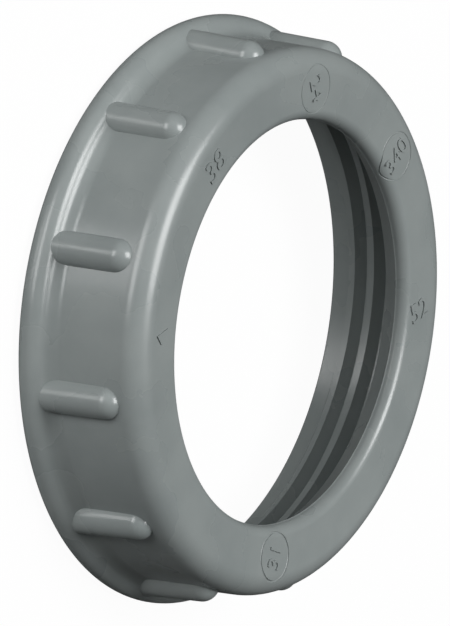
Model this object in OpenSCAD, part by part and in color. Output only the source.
// Threaded insulating bushing for the end of a 1-1/2 inch rigid conduit.
// One plastic moulding: a thin flange, a ribbed barrel, a rolled lip and an inside thread.
// Origin: centre of the flange's back face. +Z runs along the bore towards the lip.
// All sizes in millimetres.

// which sub-part to draw

/* [Conduit] */
// outside diameter of the conduit that screws in
conduit_d = 48.26; // [48:0.02:48.5]
// gap round the conduit in the plain entry
entry_gap = 0.37; // [0.3:0.01:0.6]
// length of the plain entry
entry_l = 2.3; // [1.5:0.1:3]

/* [Thread] */
// gap between the conduit's outside and the bottom of the grooves
root_gap = 0.07; // [0:0.01:0.3]
// depth of the grooves
thread_depth = 0.8; // [0.6:0.05:1.1]
// threads per inch, right-handed
threads_per_inch = 11.5; // [11:0.5:14]
// width of the flat on each crest
crest_w = 0.65; // [0.4:0.05:0.8]
// included angle of the thread
thread_angle = 60; // [50:5:70]
// direction of the thread's start round the axis, in degrees
thread_start = -144; // [-180:1:180]

/* [Flange] */
// how far the flange stands out from the barrel
flange_out = 1.9; // [1.6:0.1:4]
// thickness of the flange, whose rim is a full half round
flange_t = 2.6; // [1.8:0.1:3.2]
// inside corner radius between the flange and the barrel
fillet_r = 0.5; // [0.2:0.1:0.5]

/* [Barrel] */
// wall between the thread's grooves and the barrel's outside, at the flange
wall_t = 1.7; // [1.5:0.05:2.5]
// how much the barrel's radius falls from the flange to the front rounding
barrel_draft = 0.25; // [0:0.05:0.4]
// rounding between the barrel and the front face
shoulder_r = 2.15; // [1.2:0.05:2.6]
// height of the whole bushing
height = 12.4; // [11.8:0.1:16]

/* [Mouth] */
// smallest diameter of the mouth, at the rolled lip
mouth_d = 38.2; // [36.8:0.1:39.6]
// rounding of the lip that the cables bend over
lip_r = 2.3; // [1.2:0.1:2.4]
// how much the mouth's radius grows from the lip to its back edge
mouth_flare = 1.0; // [0.4:0.1:1.4]
// depth of the lip, from the front face to the stop for the conduit's end
lip_depth = 3.4; // [3:0.1:4]

/* [Ribs] */
// number of grip ribs round the barrel
rib_count = 12; // [6:1:16]
// height of a rib above the barrel, at the flange
rib_h = 1.45; // [0.9:0.05:1.6]
// radius of a rib, which is a half round bar
rib_r = 1.6; // [1.4:0.05:1.8]
// tilt of a rib's back towards the front
rib_fall = 3.5; // [0:0.5:5]
// distance from the front face to the centre of a rib's ball end
rib_end = 3.8; // [3.4:0.1:5]

/* [Hidden] */
pitch = 25.4 / threads_per_inch;
entry_r = conduit_d / 2 + entry_gap;
root_r = conduit_d / 2 + root_gap;
crest_r = root_r - thread_depth;
barrel_r = root_r + wall_t;
shoulder_x = barrel_r - barrel_draft;
flange_r = barrel_r + flange_out;
rim_r = flange_t / 2;
mouth_r = mouth_d / 2;
mouth_back_r = mouth_r + mouth_flare;
stop_z = height - lip_depth;
// the barrel's outside, at any height
function barrel_at(z) = barrel_r + (shoulder_x - barrel_r) * (z - flange_t) / (height - shoulder_r - flange_t);
// a groove's half width grows from the root to the crest by the flank angle
flank = tan(thread_angle / 2);
cut_r = crest_r - 0.5;
half_crest = (pitch - crest_w) / 2;
half_root = half_crest - (root_r - crest_r) * flank;
half_cut = half_crest + (crest_r - cut_r) * flank;
// the groove starts inside the plain entry and ends just short of the stop
steps_per_turn = 48;
groove_z0 = entry_l - half_crest - 0.12;
groove_z1 = stop_z - half_crest - 0.05;
groove_steps = floor((groove_z1 - groove_z0) / pitch * steps_per_turn);
// the ribs' bars lie partly inside the wall, and end short of the thread
rib_axis = barrel_r + rib_h - rib_r;
rib_foot = barrel_r - 0.7;
rib_l = height - rib_end - rim_r;

// wall section of the ring in radius and height: plain steps first, then the true roundings
module ring_section() {
    difference() {
        union() {
            // flange with its full half round rim
            translate([entry_r, 0]) square([flange_r - rim_r - entry_r, flange_t]);
            translate([flange_r - rim_r, rim_r]) circle(r = rim_r, $fn = 96);
            // drafted barrel up to the shoulder rounding, and the web behind the front face
            polygon([[root_r, flange_t / 2], [barrel_at(flange_t / 2), flange_t / 2],
                [shoulder_x, height - shoulder_r], [shoulder_x - shoulder_r, height],
                [mouth_r + lip_r, height], [mouth_r, height - lip_r],
                [mouth_back_r, stop_z], [root_r, stop_z]]);
            // rounded shoulder and rolled lip
            translate([shoulder_x - shoulder_r, height - shoulder_r]) quarter(shoulder_r);
            translate([mouth_r + lip_r, height - lip_r]) mirror([1, 0]) quarter(lip_r);
            // material for the thread's crests
            translate([crest_r, entry_l]) square([root_r - crest_r + 0.5, stop_z - entry_l + 0.5]);
            // inside corner between flange and barrel
            fillet_section();
        }
        // the plain entry opens the back
        translate([crest_r - 1, -1]) square([entry_r - crest_r + 1, entry_l + 1]);
    }
}

// quarter disc that rounds off an outer corner
module quarter(r) {
    intersection() {
        circle(r = r, $fn = 96);
        square(r + 1);
    }
}

// concave quarter round that leads from the flange's front face up the barrel
module fillet_section() {
    difference() {
        translate([barrel_at(flange_t + fillet_r) - 0.5, flange_t - 0.5])
            square([fillet_r + 0.5, fillet_r + 0.5]);
        translate([barrel_at(flange_t + fillet_r) + fillet_r, flange_t + fillet_r])
            circle(r = fillet_r, $fn = 96);
    }
}

// one section of the thread groove, as four corners: inner back, outer back, outer front, inner front
function groove_ring(i) =
    let (a = thread_start + 360 * i / steps_per_turn, z = groove_z0 + pitch * i / steps_per_turn)
    [[cut_r * cos(a), cut_r * sin(a), z - half_cut],
     [root_r * cos(a), root_r * sin(a), z - half_root],
     [root_r * cos(a), root_r * sin(a), z + half_root],
     [cut_r * cos(a), cut_r * sin(a), z + half_cut]];

// helical groove that leaves the thread's crests standing in the bore
module thread_groove() {
    n = groove_steps;
    points = [for (i = [0:n]) each groove_ring(i)];
    sides = [for (i = [0:n - 1], k = [0:3])
        let (a = 4 * i + k, b = 4 * i + (k + 1) % 4)
        each [[a, b, b + 4], [a, b + 4, a + 4]]];
    caps = [[3, 2, 1, 0], [4 * n, 4 * n + 1, 4 * n + 2, 4 * n + 3]];
    polyhedron(points = points, faces = concat(sides, caps), convexity = 8);
}

// grip rib: a half round bar with a ball end, tilted a little and grown out of the flange's rim
module rib() {
    intersection() {
        translate([rib_axis, 0, flange_t]) rotate([0, -rib_fall, 0])
            translate([0, 0, rim_r - flange_t - 0.5]) rotate_extrude($fn = 96) rib_half_section();
        translate([rib_foot, -barrel_r, rim_r]) cube([barrel_r, 2 * barrel_r, height]);
    }
}

// half the bar lengthwise, with its quarter round end
module rib_half_section() {
    square([rib_r, rib_l + 0.5]);
    translate([0, rib_l + 0.5]) quarter(rib_r);
}

// the whole moulding
module bushing() {
    color([0.5, 0.53, 0.53]) difference() {
        union() {
            rotate_extrude($fn = 192) ring_section();
            for (i = [0:rib_count - 1]) rotate([0, 0, 360 * i / rib_count]) rib();
        }
        thread_groove();
    }
}

bushing();
